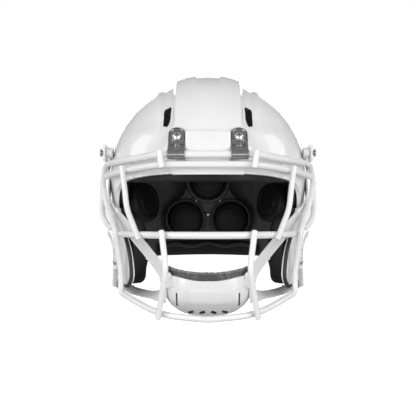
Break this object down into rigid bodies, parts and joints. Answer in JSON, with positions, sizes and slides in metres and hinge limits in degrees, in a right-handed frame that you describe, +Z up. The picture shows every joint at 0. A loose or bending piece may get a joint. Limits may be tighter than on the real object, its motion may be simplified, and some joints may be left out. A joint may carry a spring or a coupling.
{
  "type": "american football helmet",
  "caption": "American football helmet: white moulded shell with channelled crown and vents, wire facemask on flip-up clips, padded liner and chin cup on snap straps.",
  "frame": {"origin": "middle of the wearer's head at eye level, between the ears", "axes": "+Z up, the face looks along -Y, the wearer's left is +X"},
  "size_m": [0.2654, 0.331, 0.2928],
  "materials": {
    "shell_white": "high gloss clear coat over white",
    "trim_black": "matte",
    "stainless": "polished stainless",
    "chrome": "polished",
    "mask_white": "smooth powder coat",
    "clip_white": "satin moulded",
    "liner_frame": "satin moulded",
    "liner_black": "matte coated fabric over foam",
    "cup_white": "satin gloss",
    "pad_grey": "looped mesh",
    "strap_white": "smooth vinyl coated webbing"
  },
  "bodies": {
    "helmet": {"shell": "shell_white", "front_bumper": "shell_white", "rear_bumper": "shell_white", "edge_trim_left": "trim_black", "edge_trim_right": "trim_black", "front_clip_left": "stainless", "front_clip_right": "stainless", "front_screw_left": "chrome", "front_screw_right": "chrome", "upper_stud_left": "chrome", "upper_stud_right": "chrome", "lower_stud_left": "chrome", "lower_stud_right": "chrome", "side_boss_left": "clip_white", "side_boss_right": "clip_white", "rear_backing": "liner_frame", "rear_ring_top": "liner_frame", "rear_ring_left": "liner_frame", "rear_ring_right": "liner_frame", "front_pad": "liner_black", "crown_pad": "liner_black", "nape_pad": "liner_black", "rear_pad_top": "liner_black", "rear_pad_left": "liner_black", "rear_pad_right": "liner_black", "side_pad_left": "liner_black", "side_pad_right": "liner_black", "temple_pad_left": "liner_black", "temple_pad_right": "liner_black", "jaw_pad_left": "liner_black", "jaw_pad_right": "liner_black", "upper_strap_left": "strap_white", "upper_strap_right": "strap_white", "lower_strap_left": "strap_white", "lower_strap_right": "strap_white"},
    "facemask": {"brow_bar_upper": "mask_white", "brow_bar_lower": "mask_white", "mid_bar": "mask_white", "jaw_bar": "mask_white", "side_loop_left": "mask_white", "side_loop_right": "mask_white", "eye_bar_left": "mask_white", "eye_bar_right": "mask_white", "chin_bar_left": "mask_white", "chin_bar_right": "mask_white", "brow_stub_left": "mask_white", "brow_stub_right": "mask_white", "jaw_prong_left": "mask_white", "jaw_prong_right": "mask_white", "side_clip_left": "clip_white", "side_clip_right": "clip_white"},
    "chin_cup": {"chin_cup": "cup_white", "chin_pad": "pad_grey"},
    "release_left": {"release_button_left": "liner_frame"},
    "release_right": {"release_button_right": "liner_frame"},
    "upper_buckle_left": {"upper_buckle_left": "cup_white"},
    "upper_buckle_right": {"upper_buckle_right": "cup_white"},
    "lower_buckle_left": {"lower_buckle_left": "cup_white"},
    "lower_buckle_right": {"lower_buckle_right": "cup_white"}
  },
  "joints": [
    {"name": "facemask_flip", "type": "hinge", "parent": "helmet", "child": "facemask", "pos_m": [0, -0.15, 0.0548], "axis": [-1, 0, 0], "range_deg": [0, 100]},
    {"name": "chin_cup_drop", "type": "slide", "parent": "helmet", "child": "chin_cup", "axis": [0, 0, -1], "range_m": [0, 0.018]},
    {"name": "release_left", "type": "slide", "parent": "helmet", "child": "release_left", "axis": [-1, 0, 0], "range_m": [0, 0.0025], "stiffness_N_per_m": 400},
    {"name": "release_right", "type": "slide", "parent": "helmet", "child": "release_right", "axis": [1, 0, 0], "range_m": [0, 0.0025], "stiffness_N_per_m": 400},
    {"name": "upper_snap_left", "type": "slide", "parent": "helmet", "child": "upper_buckle_left", "axis": [1, 0, 0], "range_m": [0, 0.005]},
    {"name": "upper_snap_right", "type": "slide", "parent": "helmet", "child": "upper_buckle_right", "axis": [-1, 0, 0], "range_m": [0, 0.005]},
    {"name": "lower_snap_left", "type": "slide", "parent": "helmet", "child": "lower_buckle_left", "axis": [1, 0, 0], "range_m": [0, 0.005]},
    {"name": "lower_snap_right", "type": "slide", "parent": "helmet", "child": "lower_buckle_right", "axis": [-1, 0, 0], "range_m": [0, 0.005]}
  ]
}
